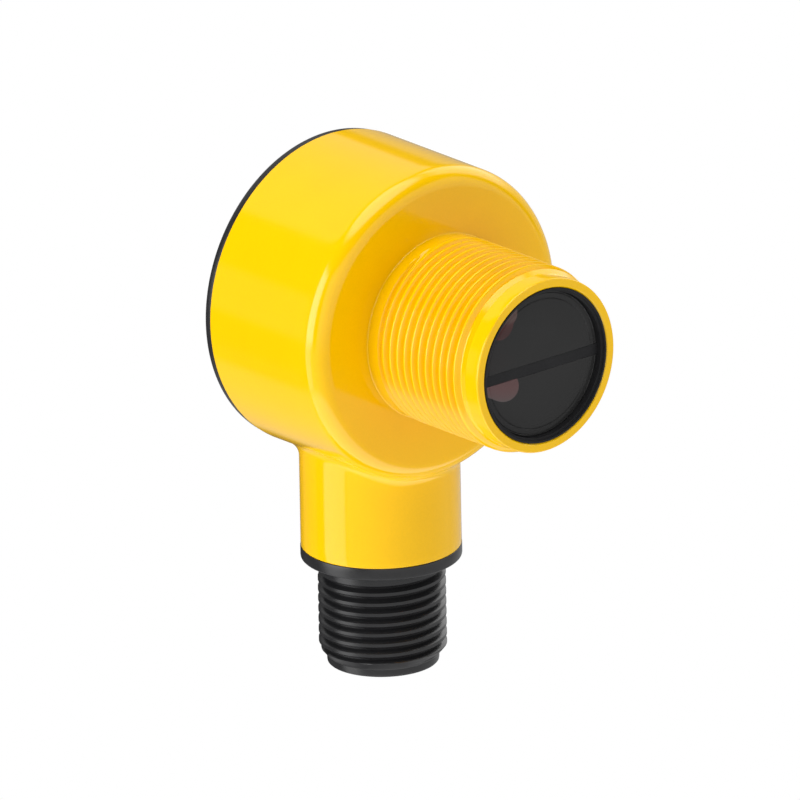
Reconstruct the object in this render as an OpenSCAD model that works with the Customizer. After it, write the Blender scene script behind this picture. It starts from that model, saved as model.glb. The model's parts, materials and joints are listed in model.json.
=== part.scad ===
// Right-angle photoelectric sensor with an M18 barrel, a round body and an M12 plug below.
// Origin: the barrel axis where it meets the body's front shoulder.
// The lenses face -Y, the rear cover faces +Y and the plug points down -Z. Millimetres.

/* [Housing] */
// Diameter of the round body
body_d = 30; // [29.6:0.1:31]
// Depth of the yellow body, from the front shoulder to the rear seam
body_depth = 15.1; // [15:0.1:16]
// Radius of the body's front edge
body_edge_r = 1.8; // [1:0.1:2]
// Diameter of the neck that carries the plug
neck_d = 14.94; // [14.6:0.02:15.2]
// Distance of the neck's axis behind the shoulder
neck_y = 8.87; // [8.8:0.01:9]
// Height of the neck's lower end, below the barrel axis
neck_drop = 23.6; // [23:0.1:25]

/* [Barrel] */
// Length of the barrel in front of the shoulder
barrel_len = 15; // [14.8:0.1:17]
// Diameter over the crests of the barrel thread
barrel_thread_d = 17.9; // [17.8:0.05:18]
// Diameter of the smooth front band
barrel_nose_d = 16.74; // [16.6:0.02:16.9]
// Pitch of both threads
thread_pitch = 1; // [0.9:0.05:1]
// Number of ridges on the barrel
barrel_ridges = 11; // [8:1:11]

/* [Plug] */
// Diameter over the crests of the plug thread
plug_thread_d = 11.88; // [11.8:0.02:12]
// Length of the plug below the neck
plug_len = 11.5; // [11.4:0.1:13]
// Number of ridges on the plug
plug_ridges = 8; // [6:1:8]
// Distance of each contact from the plug's axis
contact_circle_r = 3.535; // [3.4:0.005:3.55]
// Diameter of a contact pin
contact_d = 1; // [0.8:0.1:1]

/* [Optics] */
// Diameter of the window opening in the barrel's rim
window_d = 14.96; // [14.8:0.02:15]
// Depth of the lens frame's face behind the rim
window_recess = 0.3; // [0.2:0.01:0.4]
// Depth of the lenses' front faces behind the rim
lens_recess = 0.87; // [0.8:0.01:1]
// Height of the bar between the two lenses
divider_h = 1; // [0.7:0.05:1.2]
// Distance of the bar's middle below the barrel axis
divider_drop = 0.27; // [0.2:0.01:0.3]
// Height of the emitter above the barrel axis, and of the receiver below it
optic_offset = 3.6; // [3.4:0.05:3.65]

/* [Rear cover] */
// Thickness of the cover's visible rim
cover_rim = 0.9; // [0.8:0.1:1.4]
// Height of the gain adjuster above the barrel axis
adjuster_z = 4.5; // [4.2:0.1:5]
// Distance of each indicator from the middle
indicator_x = 7; // [6.5:0.1:7.5]

/* [Hidden] */

$fn = 96;
slip = 0.05;      // radial clearance of a running or a hand fit
over = 1;         // how far a cutting shape runs past the face it opens
joined = 0.01;    // how far a shape runs into the one it must open or meet

// Colours
yellow = [1, 0.8, 0.05];
black = [0.13, 0.13, 0.14];
smoke = [0.2, 0.19, 0.19, 0.8];
rubber = [0.08, 0.08, 0.08];
board_green = [0.05, 0.35, 0.15];
gold = [0.85, 0.65, 0.25];
tin = [0.75, 0.75, 0.78];
clear = [0.85, 0.9, 0.95, 0.5];
white = [0.92, 0.92, 0.9];

// Threads: concentric ridges of a 60 degree thread
crest_flat = 0.2 * thread_pitch;
root_flat = 0.18 * thread_pitch;
thread_depth = (thread_pitch - crest_flat - root_flat) / 2 / tan(30);

// Housing
body_r = body_d / 2;
wall = 1.8;
cavity_r = body_r - wall;
shelf_y = 3;                            // shelf that the main board rests on
shelf_w = 1;
neck_r = neck_d / 2;
neck_bore_r = neck_r - 1.67;
neck_bore_top = -(body_r + 1.5);
wire_way_r = 4.3;                       // passage from the neck into the body
neck_bottom = -neck_drop;

// Barrel
nose_y = -barrel_len;
nose_r = barrel_nose_d / 2;
barrel_r = barrel_thread_d / 2;
nose_band = 1.75;                       // length of the smooth front band
nose_edge = 0.15;                       // chamfer of the barrel's rim
lead_in = 0.9;                          // length of the cone from the band up to the first ridge
first_ridge_y = nose_y + nose_band + lead_in + crest_flat / 2;
collar_r = barrel_r - 0.1;
collar_len = 1.4;
collar_edge = 0.1;
window_r = window_d / 2;
lens_seat_y = nose_y + 5;
barrel_bore_r = window_r - 0.58;

// Lens frame and lenses
frame_r = window_r - 0.03;
frame_lip = 0.2;                        // width of the thin lip around the recess
frame_face_y = nose_y + window_recess;
lens_y = nose_y + lens_recess;          // front of the lenses and of the bar between them
lens_r = frame_r - 0.45;
lens_gap = 0.03;                        // clearance of a lens on the bar and in the frame
lens_back_y = lens_y + 0.88;            // back of the lenses' flat rims
lens_bulge = 1.35;
lens_bulge_r = 9;
frame_back_y = nose_y + 4.4;
lens_seal_cord_r = 0.27;

// Optics behind the lenses
tube_r = barrel_bore_r - 0.05;
tube_bore_r = tube_r - 0.56;
tube_base_y = nose_y + 8.9;
tube_base_t = 1.5;
optics_board_y = nose_y + 11.6;
optics_board_t = 1;
hole_gap = 0.03;                        // clearance of a lead in its hole
led_r = 1.5;
led_flange_r = 1.9;
led_flange_t = 1;
led_dome_y = nose_y + 6.2;
led_head_z = 2.4;                       // inner end of a package's oval head, from the axis
lead_r = 0.25;
lead_pitch = 2.54;
lead_end_y = optics_board_y + optics_board_t + 0.6;

// Boards
board_y = shelf_y;
board_t = 1.6;
board_r = cavity_r - 0.3;
board_back = board_y + board_t;
link_pins = 4;
link_pin_r = 0.3;
link_header = [2.5, 2.5];               // height across the board, and thickness
link_pin_out = [0.4, 0.5];              // how far the pins stand out in front and behind

// Components: middle, width and height across the board, thickness
preamp_chip = [0, 5, 3, 2, 1.1];
controller_chip = [-7.2, 3.4, 4.6, 3.8, 1.4];
regulator_chip = [7, 3.6, 4.5, 2.5, 1.5];
capacitor_chips = [[6, 8, 3.4, 1.8, 1.8], [-6, 8, 3.4, 1.8, 1.8]];
transistor_chips = [[-6, -6.6, 2.9, 1.3, 1.1], [6, -6.6, 2.9, 1.3, 1.1]];
diode_chip = [0, -3.4, 4.3, 2.6, 2.1];
chip_lead_w = 0.35;
chip_lead_out = 0.8;                    // how far a lead stands out on each side
chip_lead_h = 0.4;                      // height of a lead as a share of its chip's

// Rear cover
cover_y = body_depth;
cover_r = body_r - 0.09;
cover_back = cover_y + cover_rim;
panel_r = 12;
panel_drop = 0.3;                       // depth of the panel inside the rim
panel_y = cover_back - panel_drop;
cover_edge_r = 0.25;
spigot_r = cavity_r - 0.08;
spigot_len = 1.85;
spigot_wall = 1.2;
spigot_seal_y = cover_y - 0.92;
leg_r = 1;                              // legs that hold the main board on its shelf
leg_circle_r = spigot_r - spigot_wall - 0.7;
leg_angles = [90, 210, 330];
pipe_r = 1.2;
pipe_flange_r = 1.8;
pipe_flange_t = 0.8;
pipe_gap = 0.2;                         // gap between an indicator and its pipe
indicator_z = -2.5;
indicator_size = [2, 1.6, 0.9];

// Round seals: thickness of the cord, and the depth and width of its groove
seal_cord_r = 0.39;
seal_gap = 0.03;                        // clearance of a seal in its bore
seal_groove = [0.8, 0.86];
small_seal_cord_r = 0.33;
small_seal_groove = [0.7, 0.76];

// Gain adjuster and the trimmer it turns
spindle_r = 1.95;
boss_r = 3.6;
boss_y = cover_y - 1.2;
spindle_back = panel_y - 0.15;
spindle_seal_y = boss_y + 0.75;
spindle_neck_r = 1.4;
collar_w = 2.7;                         // radius of the collar that keeps the spindle in
collar_y = boss_y - 0.85;
slot_w = 0.6;
slot_depth = 0.7;
trimmer_w = 6.6;
trimmer_h = 3.6;
rotor_r = 2.5;
rotor_h = 1.4;
rotor_y = board_back + trimmer_h - rotor_h;
blade_w = 3.2;
blade_t = 0.7;
blade_in = 0.8;
spindle_gap = 0.3;                      // gap between the spindle's front and the rotor

// Plug
plug_flange_r = neck_r + 0.03;
plug_flange_t = 1.17;
plug_r = plug_thread_d / 2;
plug_root_r = plug_r - thread_depth;
plug_tip = neck_bottom - plug_len;
tip_r = plug_r - 0.74;
tip_edge = 0.2;
tip_len = 0.75;
tip_cone = 0.9;
socket_r = 4.3;
socket_floor = neck_bottom - 5;
spigot_top = neck_bottom + 3;
plug_spigot_r = neck_bore_r - slip;
carrier_gap = 0.03;
carrier_flange_t = 0.8;
carrier_step = 0.25;                    // how far the carrier's flange stands out
key_w = 1;
key_h = 0.6;
key_angle = 45;
contact_r = contact_d / 2;
contact_fit = 0.02;                     // clearance of a contact in the carrier
contact_tip = plug_tip + 0.7;
plug_seal_z = spigot_top - 1.6;
cup_r = 0.85;                           // solder cup at the top of each contact
cup_top = spigot_top + 2.6;

// Wires: contact, angle around the plug's axis, height where each one meets the board
wire_r = 0.6;
wire_bend_r = 2;
contact_angles = [0, 90, 180, 270];
wire_heights = [-10.5, -7.5, -10.5, -9.2];

// Turns a shape that stands on Z so that it lies along +Y
module along_y(y = 0) translate([0, y, 0]) rotate([-90, 0, 0]) children();

// A shape turned about the barrel axis: x of the outline is the radius, y is the row's Y
module turned() along_y() rotate_extrude() children();

module rod_y(r, y0, y1, x = 0, z = 0) translate([x, 0, z]) along_y(y0) cylinder(r = r, h = y1 - y0);

module rod_z(r, z0, z1, x = 0, y = 0) translate([x, y, z0]) cylinder(r = r, h = z1 - z0);

// A box between two corners
module block(low, high) translate(low) cube(high - low);

// A component that lies flat on a board's back, from its five numbers
module chip(c, y = board_back)
    block([c[0] - c[2] / 2, y, c[1] - c[3] / 2], [c[0] + c[2] / 2, y + c[4], c[1] + c[3] / 2]);

// A round seal about the row's Y axis
module o_ring(ring_r, cord_r, y, x = 0, z = 0)
    translate([x, y, z]) along_y() rotate_extrude() translate([ring_r, 0]) circle(r = cord_r);

// Outline of a seal's groove in a turned face of that radius; size is its depth and its width
module groove_outline(face_r, middle, size)
    translate([face_r - size[0], middle - size[1] / 2]) square([size[0] + over, size[1]]);

// Outline points of the ridges of a thread, from low to high along the axis
function ridges(crest_r, root_r, first, count) =
    [for (i = [0 : count - 1]) for (p = [[root_r, -thread_pitch / 2 + root_flat / 2],
                                         [crest_r, -crest_flat / 2],
                                         [crest_r, crest_flat / 2],
                                         [root_r, thread_pitch / 2 - root_flat / 2]])
        [p[0], first + i * thread_pitch + p[1]]];

// The ridges of the barrel without the first groove, which the lead-in cone takes the place of
function barrel_ridge_points() =
    let (all = ridges(barrel_r, barrel_r - thread_depth, first_ridge_y, barrel_ridges))
    [for (i = [1 : len(all) - 1]) all[i]];

module barrel_outline() polygon(concat(
    [[0, nose_y], [nose_r - nose_edge, nose_y], [nose_r, nose_y + nose_edge], [nose_r, nose_y + nose_band]],
    barrel_ridge_points(),
    [[barrel_r - thread_depth, -collar_len - collar_edge], [collar_r, -collar_len],
     [collar_r, over], [0, over]]));

module body_outline() {
    edge_x = body_r - body_edge_r;
    square([edge_x, body_depth]);
    translate([0, body_edge_r]) square([body_r, body_depth - body_edge_r]);
    translate([edge_x, body_edge_r]) circle(r = body_edge_r);
}

module housing() color(yellow) difference() {
    union() {
        turned() barrel_outline();
        turned() body_outline();
        rod_z(neck_r, neck_bottom, -body_r / 2, y = neck_y);
    }
    // the barrel's bore, with the seat for the lens seal
    rod_y(window_r, nose_y - over, lens_seat_y);
    rod_y(barrel_bore_r, nose_y, shelf_y);
    // the body's cavity, and the saddle in the neck that the rear cover sits in
    rod_y(cavity_r - shelf_w, wall, body_depth);
    rod_y(cavity_r, shelf_y, body_depth + over);
    rod_y(body_r, body_depth, body_depth + neck_r);
    // the neck's bore and the way up for the wires
    rod_z(neck_bore_r, neck_bottom - over, neck_bore_top, y = neck_y);
    rod_z(wire_way_r, neck_bottom, -body_r + wall + shelf_w + over, y = neck_y);
}

module lens_frame() color(black) {
    difference() {
        rod_y(frame_r, nose_y, frame_back_y);
        rod_y(frame_r - frame_lip, nose_y - over, frame_face_y);
        rod_y(lens_r + lens_gap, nose_y, frame_back_y + over);
    }
    // the bar between the lenses
    intersection() {
        rod_y(lens_r + 2 * slip, lens_y, lens_back_y);
        divider();
    }
}

// The slab that the bar and the tube's partition are cut from
module divider() translate([0, 0, -divider_drop])
    block([-body_r, nose_y, -divider_h / 2], [body_r, 0, divider_h / 2]);

// One D-shaped lens above or below the bar, flat in front and convex behind
module half_lens(side) intersection() {
    edge_z = side * (divider_h / 2 + lens_gap) - divider_drop;
    union() {
        rod_y(lens_r, lens_y, lens_back_y);
        intersection() {
            rod_y(tube_bore_r - 2 * slip, lens_back_y - joined, lens_back_y + lens_bulge + over);
            translate([0, lens_back_y + lens_bulge - lens_bulge_r, side * optic_offset])
                sphere(r = lens_bulge_r);
        }
    }
    block([-body_r, nose_y, min(edge_z, side * body_r)], [body_r, 0, max(edge_z, side * body_r)]);
}

module emitter_lens() color(smoke) half_lens(1);

module receiver_lens() color(smoke) half_lens(-1);

module lens_seal() color(rubber)
    o_ring(window_r - lens_seal_cord_r - seal_gap, lens_seal_cord_r, (frame_back_y + lens_seat_y) / 2);

// The black tube that keeps the two light paths apart
module optics_tube() color(black) {
    difference() {
        rod_y(tube_r, lens_back_y, optics_board_y);
        rod_y(tube_bore_r, lens_back_y - over, tube_base_y);
        rod_y(tube_bore_r, tube_base_y + tube_base_t, optics_board_y + over);
        for (side = [-1, 1]) rod_y(led_r + slip, nose_y, 0, z = side * optic_offset);
    }
    intersection() {
        rod_y(tube_bore_r + slip, lens_back_y, tube_base_y + slip);
        divider();
    }
}

// A small package with a flange behind, an oval head in front and a dome on the head's outer end
module domed_package(side) {
    z = side * optic_offset;
    head_z = side * led_head_z;
    rod_y(led_flange_r, optics_board_y - led_flange_t, optics_board_y, z = z);
    rod_y(led_r, led_dome_y, optics_board_y, z = z);
    translate([0, led_dome_y, z]) sphere(r = led_r);
    rod_y(led_r, led_dome_y, tube_base_y, z = head_z);
    block([-led_r, led_dome_y, min(z, head_z)], [led_r, tube_base_y, max(z, head_z)]);
}

module lead_pair(z) for (side = [-1, 1])
    rod_y(lead_r, optics_board_y, lead_end_y, x = side * lead_pitch / 2, z = z);

module emitter_led() color(clear) domed_package(1);

module emitter_leads() color(tin) lead_pair(optic_offset);

module receiver_photodiode() color(clear) domed_package(-1);

module receiver_leads() color(tin) lead_pair(-optic_offset);

module optics_board() color(board_green) difference() {
    rod_y(tube_r, optics_board_y, optics_board_y + optics_board_t);
    for (side = [-1, 1], hole = [-1, 1])
        rod_y(lead_r + hole_gap, nose_y, 0, x = side * lead_pitch / 2, z = hole * optic_offset);
    link_holes();
}

module preamp_ic() color(black) chip(preamp_chip, optics_board_y + optics_board_t);

// The pins and the header that join the two boards
module link_row(r, y0, y1) for (i = [0 : link_pins - 1])
    rod_y(r, y0, y1, x = (i - (link_pins - 1) / 2) * lead_pitch);

module link_holes() link_row(link_pin_r + hole_gap, nose_y, body_depth);

module board_link_header() color(black) difference() {
    header_y = optics_board_y + optics_board_t;
    chip([0, 0, link_pins * lead_pitch, link_header[0], link_header[1]], header_y);
    link_holes();
}

module board_link_pins() color(gold)
    link_row(link_pin_r, optics_board_y - link_pin_out[0], board_back + link_pin_out[1]);

module main_board() color(board_green) difference() {
    rod_y(board_r, board_y, board_back);
    link_holes();
}

// A moulded chip with a row of leads along its two long sides
module chip_with_leads(c, leads, pitch) {
    chip(c);
    for (i = [0 : leads - 1]) {
        x = c[0] + (i - (leads - 1) / 2) * pitch;
        chip([x, c[1], chip_lead_w, c[3] + 2 * chip_lead_out, c[4] * chip_lead_h]);
    }
}

module controller_ic() color(black) chip_with_leads(controller_chip, leads = 7, pitch = 0.6);

module voltage_regulator() color(black) chip_with_leads(regulator_chip, leads = 3, pitch = 1.5);

module filter_capacitors() color([0.75, 0.55, 0.3]) for (c = capacitor_chips) chip(c);

module output_transistors() color(black)
    for (c = transistor_chips) chip_with_leads(c, leads = 2, pitch = 1.9);

module polarity_diode() color(black) chip(diode_chip);

module indicator_led(side)
    chip([side * indicator_x, indicator_z, indicator_size[0], indicator_size[1], indicator_size[2]]);

module power_led() color([0.6, 0.9, 0.6]) indicator_led(-1);

module output_led() color([0.95, 0.8, 0.4]) indicator_led(1);

// A clear rod from just above an indicator to the back of the cover
module light_pipe(side) translate([side * indicator_x, 0, indicator_z]) {
    rod_y(pipe_r, board_back + indicator_size[2] + pipe_gap, panel_y);
    rod_y(pipe_flange_r, cover_y - pipe_flange_t, cover_y);
}

module power_light_pipe() color(clear) light_pipe(-1);

module output_light_pipe() color(clear) light_pipe(1);

module cover_outline() {
    edge_x = cover_r - cover_edge_r;
    translate([0, cover_y]) square([cover_r, cover_rim - cover_edge_r]);
    translate([0, cover_y]) square([edge_x, cover_rim]);
    translate([edge_x, cover_back - cover_edge_r]) circle(r = cover_edge_r);
    // the spigot that centres the cover in the body, with the seal's groove
    difference() {
        translate([spigot_r - spigot_wall, cover_y - spigot_len]) square([spigot_wall, spigot_len + slip]);
        groove_outline(spigot_r, spigot_seal_y, seal_groove);
    }
}

module rear_cover() color(black) difference() {
    union() {
        turned() cover_outline();
        rod_y(boss_r, boss_y, cover_y + slip, z = adjuster_z);
        for (a = leg_angles)
            rod_y(leg_r, board_back, cover_y + slip, x = leg_circle_r * cos(a), z = leg_circle_r * sin(a));
    }
    rod_y(panel_r, panel_y, cover_back + over);
    rod_y(spindle_r + slip, 0, cover_back + over, z = adjuster_z);
    for (side = [-1, 1])
        rod_y(pipe_r + slip, board_back, cover_back + over, x = side * indicator_x, z = indicator_z);
}

module rear_cover_seal() color(rubber) o_ring(cavity_r - seal_cord_r - seal_gap, seal_cord_r, spigot_seal_y);

// The spindle that a screwdriver turns, with its blade in the trimmer's rotor
module gain_adjuster() color(white) translate([0, 0, adjuster_z]) {
    rotor_back = rotor_y + rotor_h;
    spindle_front = rotor_back + spindle_gap;
    difference() {
        turned() difference() {
            polygon([[0, spindle_front], [spindle_neck_r, spindle_front], [spindle_neck_r, collar_y],
                     [collar_w, collar_y], [collar_w, boss_y - slip], [spindle_r, boss_y - slip],
                     [spindle_r, spindle_back], [0, spindle_back]]);
            groove_outline(spindle_r, spindle_seal_y, small_seal_groove);
        }
        block([-spindle_r - over, spindle_back - slot_depth, -slot_w / 2],
              [spindle_r + over, cover_back, slot_w / 2]);
    }
    block([-blade_w / 2, rotor_back - blade_in, -blade_t / 2],
          [blade_w / 2, spindle_front + spindle_gap, blade_t / 2]);
}

module adjuster_seal() color(rubber)
    o_ring(spindle_r - small_seal_cord_r - joined, small_seal_cord_r, spindle_seal_y, z = adjuster_z);

module trimmer_body() color([0.1, 0.25, 0.6]) difference() {
    chip([0, adjuster_z, trimmer_w, trimmer_w, trimmer_h]);
    rod_y(rotor_r + slip, rotor_y - slip, cover_y, z = adjuster_z);
}

module trimmer_rotor() color(white) translate([0, 0, adjuster_z]) difference() {
    rod_y(rotor_r, rotor_y, rotor_y + rotor_h);
    block([-blade_w / 2 - slip, rotor_y + rotor_h - blade_in - slip, -blade_t / 2 - slip],
          [blade_w / 2 + slip, cover_y, blade_t / 2 + slip]);
}

module plug_outline() {
    thread_end = plug_tip + tip_len + tip_cone;
    polygon(concat(
        [[0, plug_tip], [tip_r - tip_edge, plug_tip],
         [tip_r, plug_tip + tip_edge], [tip_r, plug_tip + tip_len]],
        [for (p = ridges(plug_r, plug_root_r, thread_end + crest_flat / 2, plug_ridges))
            if (p[1] >= thread_end) p],
        [[plug_root_r, neck_bottom - plug_flange_t], [plug_flange_r, neck_bottom - plug_flange_t],
         [plug_flange_r, neck_bottom], [plug_spigot_r, neck_bottom],
         [plug_spigot_r, spigot_top], [0, spigot_top]]));
}

module connector_shell() color(black) translate([0, neck_y, 0]) difference() {
    rotate_extrude() difference() {
        plug_outline();
        groove_outline(plug_spigot_r, plug_seal_z, seal_groove);
    }
    difference() {
        rod_z(socket_r, plug_tip - over, spigot_top + over);
        // the key that lines the mating plug up
        rotate([0, 0, key_angle])
            block([-key_w / 2, socket_r - key_h, plug_tip], [key_w / 2, socket_r + over, socket_floor]);
    }
    rod_z(socket_r + carrier_step + slip, spigot_top - carrier_flange_t, spigot_top + over);
}

module connector_seal() color(rubber) translate([0, neck_y, plug_seal_z])
    rotate_extrude() translate([neck_bore_r - seal_cord_r - seal_gap, 0]) circle(r = seal_cord_r);

module contact_at(i)
    translate([0, neck_y, 0]) rotate([0, 0, contact_angles[i]])
        translate([contact_circle_r, 0, 0]) children();

module contact_carrier() color(black) difference() {
    translate([0, neck_y, 0]) {
        rod_z(socket_r - carrier_gap, socket_floor, spigot_top);
        rod_z(socket_r + carrier_step, spigot_top - carrier_flange_t, spigot_top);
    }
    for (i = [0 : 3]) contact_at(i) rod_z(contact_r + contact_fit, plug_tip, cup_top);
}

module contact(i) color(gold) contact_at(i) {
    rod_z(contact_r, contact_tip + contact_r, spigot_top);
    translate([0, 0, contact_tip + contact_r]) sphere(r = contact_r);
    rod_z(cup_r, spigot_top, cup_top);
}

// A wire from the contact's cup, up the neck and forward to the board's back
module wire(i) {
    a = contact_angles[i];
    x = contact_circle_r * cos(a);
    y = neck_y + contact_circle_r * sin(a);
    top = wire_heights[i];
    bends = y - wire_bend_r > board_back;
    rod_z(wire_r, cup_top, bends ? top - wire_bend_r : top, x = x, y = y);
    if (bends) {
        translate([x, y - wire_bend_r, top - wire_bend_r]) rotate([90, 0, 90])
            rotate_extrude(angle = 90) translate([wire_bend_r, 0]) circle(r = wire_r);
        rod_y(wire_r, board_back, y - wire_bend_r, x = x, z = top);
    }
}

housing();
rear_cover();
rear_cover_seal();
power_light_pipe();
output_light_pipe();
gain_adjuster();
adjuster_seal();
trimmer_body();
trimmer_rotor();
lens_frame();
emitter_lens();
receiver_lens();
lens_seal();
optics_tube();
emitter_led();
emitter_leads();
receiver_photodiode();
receiver_leads();
optics_board();
preamp_ic();
board_link_header();
board_link_pins();
main_board();
controller_ic();
voltage_regulator();
filter_capacitors();
output_transistors();
polarity_diode();
power_led();
output_led();
connector_shell();
connector_seal();
contact_carrier();
contact(0);  // contact_1
contact(1);  // contact_2
contact(2);  // contact_3
contact(3);  // contact_4
color([0.4, 0.2, 0.08]) wire(0);  // wire_brown
color([0.9, 0.9, 0.88]) wire(1);  // wire_white
color([0.1, 0.3, 0.75]) wire(2);  // wire_blue
color([0.06, 0.06, 0.06]) wire(3);  // wire_black
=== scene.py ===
import json
import math

import bmesh
import bpy
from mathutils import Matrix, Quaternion, Vector


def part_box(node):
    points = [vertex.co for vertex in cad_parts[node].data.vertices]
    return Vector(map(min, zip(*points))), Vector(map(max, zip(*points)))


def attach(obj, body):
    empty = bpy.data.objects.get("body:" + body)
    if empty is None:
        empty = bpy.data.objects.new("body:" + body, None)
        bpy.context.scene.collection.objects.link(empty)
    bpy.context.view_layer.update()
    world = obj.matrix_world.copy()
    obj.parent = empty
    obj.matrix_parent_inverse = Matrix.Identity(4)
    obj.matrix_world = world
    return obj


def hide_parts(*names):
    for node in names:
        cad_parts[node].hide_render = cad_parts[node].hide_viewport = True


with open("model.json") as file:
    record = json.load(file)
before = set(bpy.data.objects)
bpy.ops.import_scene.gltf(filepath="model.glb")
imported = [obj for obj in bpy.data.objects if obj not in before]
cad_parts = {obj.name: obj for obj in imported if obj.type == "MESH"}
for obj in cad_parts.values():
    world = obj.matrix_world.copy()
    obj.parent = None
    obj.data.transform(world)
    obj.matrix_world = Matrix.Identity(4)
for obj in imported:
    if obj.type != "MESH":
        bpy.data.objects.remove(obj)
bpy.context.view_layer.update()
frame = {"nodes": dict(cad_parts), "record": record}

# Shapes are worked out in millimetres and scaled once, where a mesh is made.
MM = 0.001


def mm_box(node):
    """Lowest and highest corner of a CAD node, in millimetres."""
    low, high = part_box(node)
    return low / MM, high / MM


# ---------------------------------------------------------------- sizes, from the frame

housing_low, housing_high = mm_box("housing")
shell_low, shell_high = mm_box("connector_shell")
_, cover_high = mm_box("rear_cover")
_, lens_frame_high = mm_box("lens_frame")
main_board_low, main_board_high = mm_box("main_board")
adjuster_low, adjuster_high = mm_box("gain_adjuster")
power_pipe_low, power_pipe_high = mm_box("power_light_pipe")

# Round body, about the row's Y axis; its front face is the plane y = 0
body_r = housing_high.x
body_edge_r = 1.8
cover_rim = 0.9
seam_y = cover_high.y - cover_rim
front_wall = 1.8
cavity_r = body_r - 1.8
cavity_front_r = cavity_r - 1.0     # narrower ahead of the shelf that the main board rests on
shelf_y = main_board_low.y

# Neck and plug, about a vertical axis
neck_y = (shell_low.y + shell_high.y) / 2
flange_r = shell_high.x
neck_r = flange_r - 0.03
neck_bottom = housing_low.z
neck_edge_r = 0.12
fillet_r = 1.3
neck_bore_r = neck_r - 1.67
neck_bore_top = -(body_r + 1.5)
wire_way_r = 4.3

# Barrel
nose_y = housing_low.y
nose_r = 8.37
nose_edge_r = 0.15
nose_band = 1.75
lead_in = 0.9
barrel_r = 8.95
collar_r = 8.85
collar_len = 1.4
collar_ramp = 0.3       # length over which the ridges' tops come down to the collar
collar_foot_r = 0.12    # fillet at the foot of the collar
thread_back = -collar_len + 0.35
window_r = lens_frame_high.x + 0.03
lens_seat_y = nose_y + 5
barrel_bore_r = window_r - 0.58
window_lip = 0.12

# Threads: right-handed, one millimetre to a turn
pitch = 1.0
thread_depth = 0.537

SEGMENTS = 256          # columns round the body, the barrel and other large rounds
FINE = 1e-3             # points closer than this, in millimetres, are one point
SLACK = 1e-7            # angles closer than this are one angle
OVER = 1.0              # how far a cutting shape reaches past what it cuts


# ---------------------------------------------------------------- mesh tools

def arc(centre, radius, start, end, steps):
    """Points of an arc in an outline, angles in degrees."""
    return [(centre[0] + radius * math.cos(math.radians(start + (end - start) * i / steps)),
             centre[1] + radius * math.sin(math.radians(start + (end - start) * i / steps)))
            for i in range(steps + 1)]


def about_y(r, a, h, x=0.0, z=0.0):
    """The point at radius r and height h along Y; angle 0 is up and grows towards +X."""
    return (x + r * math.sin(a), h, z + r * math.cos(a))


def about_neck(r, a, h):
    """The point at radius r and height h on the neck's axis; angle 0 is to the rear."""
    return (r * math.sin(a), neck_y + r * math.cos(a), h)


def ring_angles(count):
    """The angles of one turn in equal steps."""
    return [2 * math.pi * i / count for i in range(count)]


def rounded(corners, radius, closed=False):
    """An outline with its corners rounded; a corner may bring its own radius as a third number."""
    points = []
    count = len(corners)
    turns = 3           # edges across each rounded corner
    most = 0.45         # share of a side that a corner may take up
    for i, corner in enumerate(corners):
        own = corner[2] if len(corner) > 2 else radius
        here = Vector(corner[:2])
        if own <= 0 or (not closed and i in (0, count - 1)):
            points.append(tuple(here))
            continue
        before = Vector(corners[i - 1][:2]) - here
        after = Vector(corners[(i + 1) % count][:2]) - here
        own = min(own, before.length * most, after.length * most)
        start, end = here + before.normalized() * own, here + after.normalized() * own
        for step in range(turns + 1):
            t = step / turns
            points.append(tuple(start * (1 - t) ** 2 + here * 2 * t * (1 - t) + end * t ** 2))
    return points


class Shape:
    """Points and faces in millimetres, which become one mesh."""

    def __init__(self):
        self.points = []
        self.faces = []

    def add(self, point):
        self.points.append(tuple(point))
        return len(self.points) - 1

    def column(self, points):
        """Adds points in a row, and returns their numbers."""
        return [self.add(p) for p in points]

    def strip(self, left, right):
        """Quads between two columns of the same length."""
        for i in range(len(left) - 1):
            self.faces.append((left[i], left[i + 1], right[i + 1], right[i]))

    def face(self, indices):
        self.faces.append(tuple(indices))

    def grid(self, columns, closed=True):
        """Quads between neighbouring columns, round to the first one if closed."""
        rows = [self.column(c) for c in columns]
        for i in range(len(rows) - (0 if closed else 1)):
            self.strip(rows[i], rows[(i + 1) % len(rows)])
        return rows

    def lathe(self, outline, angles, place, closed=False, open_end=False):
        """Turns an outline of (radius, height) points; an end off the axis gets a flat cap."""
        rows = self.grid([[place(r, a, h) for r, h in outline] for a in angles])
        if closed:
            for i, row in enumerate(rows):
                following = rows[(i + 1) % len(rows)]
                self.face((row[-1], row[0], following[0], following[-1]))
            return rows
        for end in (0,) if open_end else (0, -1):
            if outline[end][0] > FINE:
                self.face([row[end] for row in rows])
        return rows

    def extrude(self, outline, start, end, place):
        """A prism: place(u, v, h) puts an outline point at height h."""
        rows = self.grid([[place(u, v, start), place(u, v, end)] for u, v in outline])
        for side in (0, 1):
            self.face([row[side] for row in rows])

    def mesh(self, name):
        mesh = bpy.data.meshes.new(name)
        mesh.from_pydata([[c * MM for c in p] for p in self.points], [], self.faces)
        weld(mesh, FINE * MM)
        return mesh


def weld(mesh, distance):
    """Joins points closer than a distance in metres, and turns all faces outwards."""
    bm = bmesh.new()
    bm.from_mesh(mesh)
    bmesh.ops.remove_doubles(bm, verts=bm.verts, dist=distance)
    bmesh.ops.dissolve_degenerate(bm, edges=bm.edges, dist=distance / 10)
    bmesh.ops.recalc_face_normals(bm, faces=bm.faces)
    bm.to_mesh(mesh)
    bm.free()


def link(name, mesh):
    """A new object in the scene."""
    piece = bpy.data.objects.new(name, mesh)
    bpy.context.scene.collection.objects.link(piece)
    return piece


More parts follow.
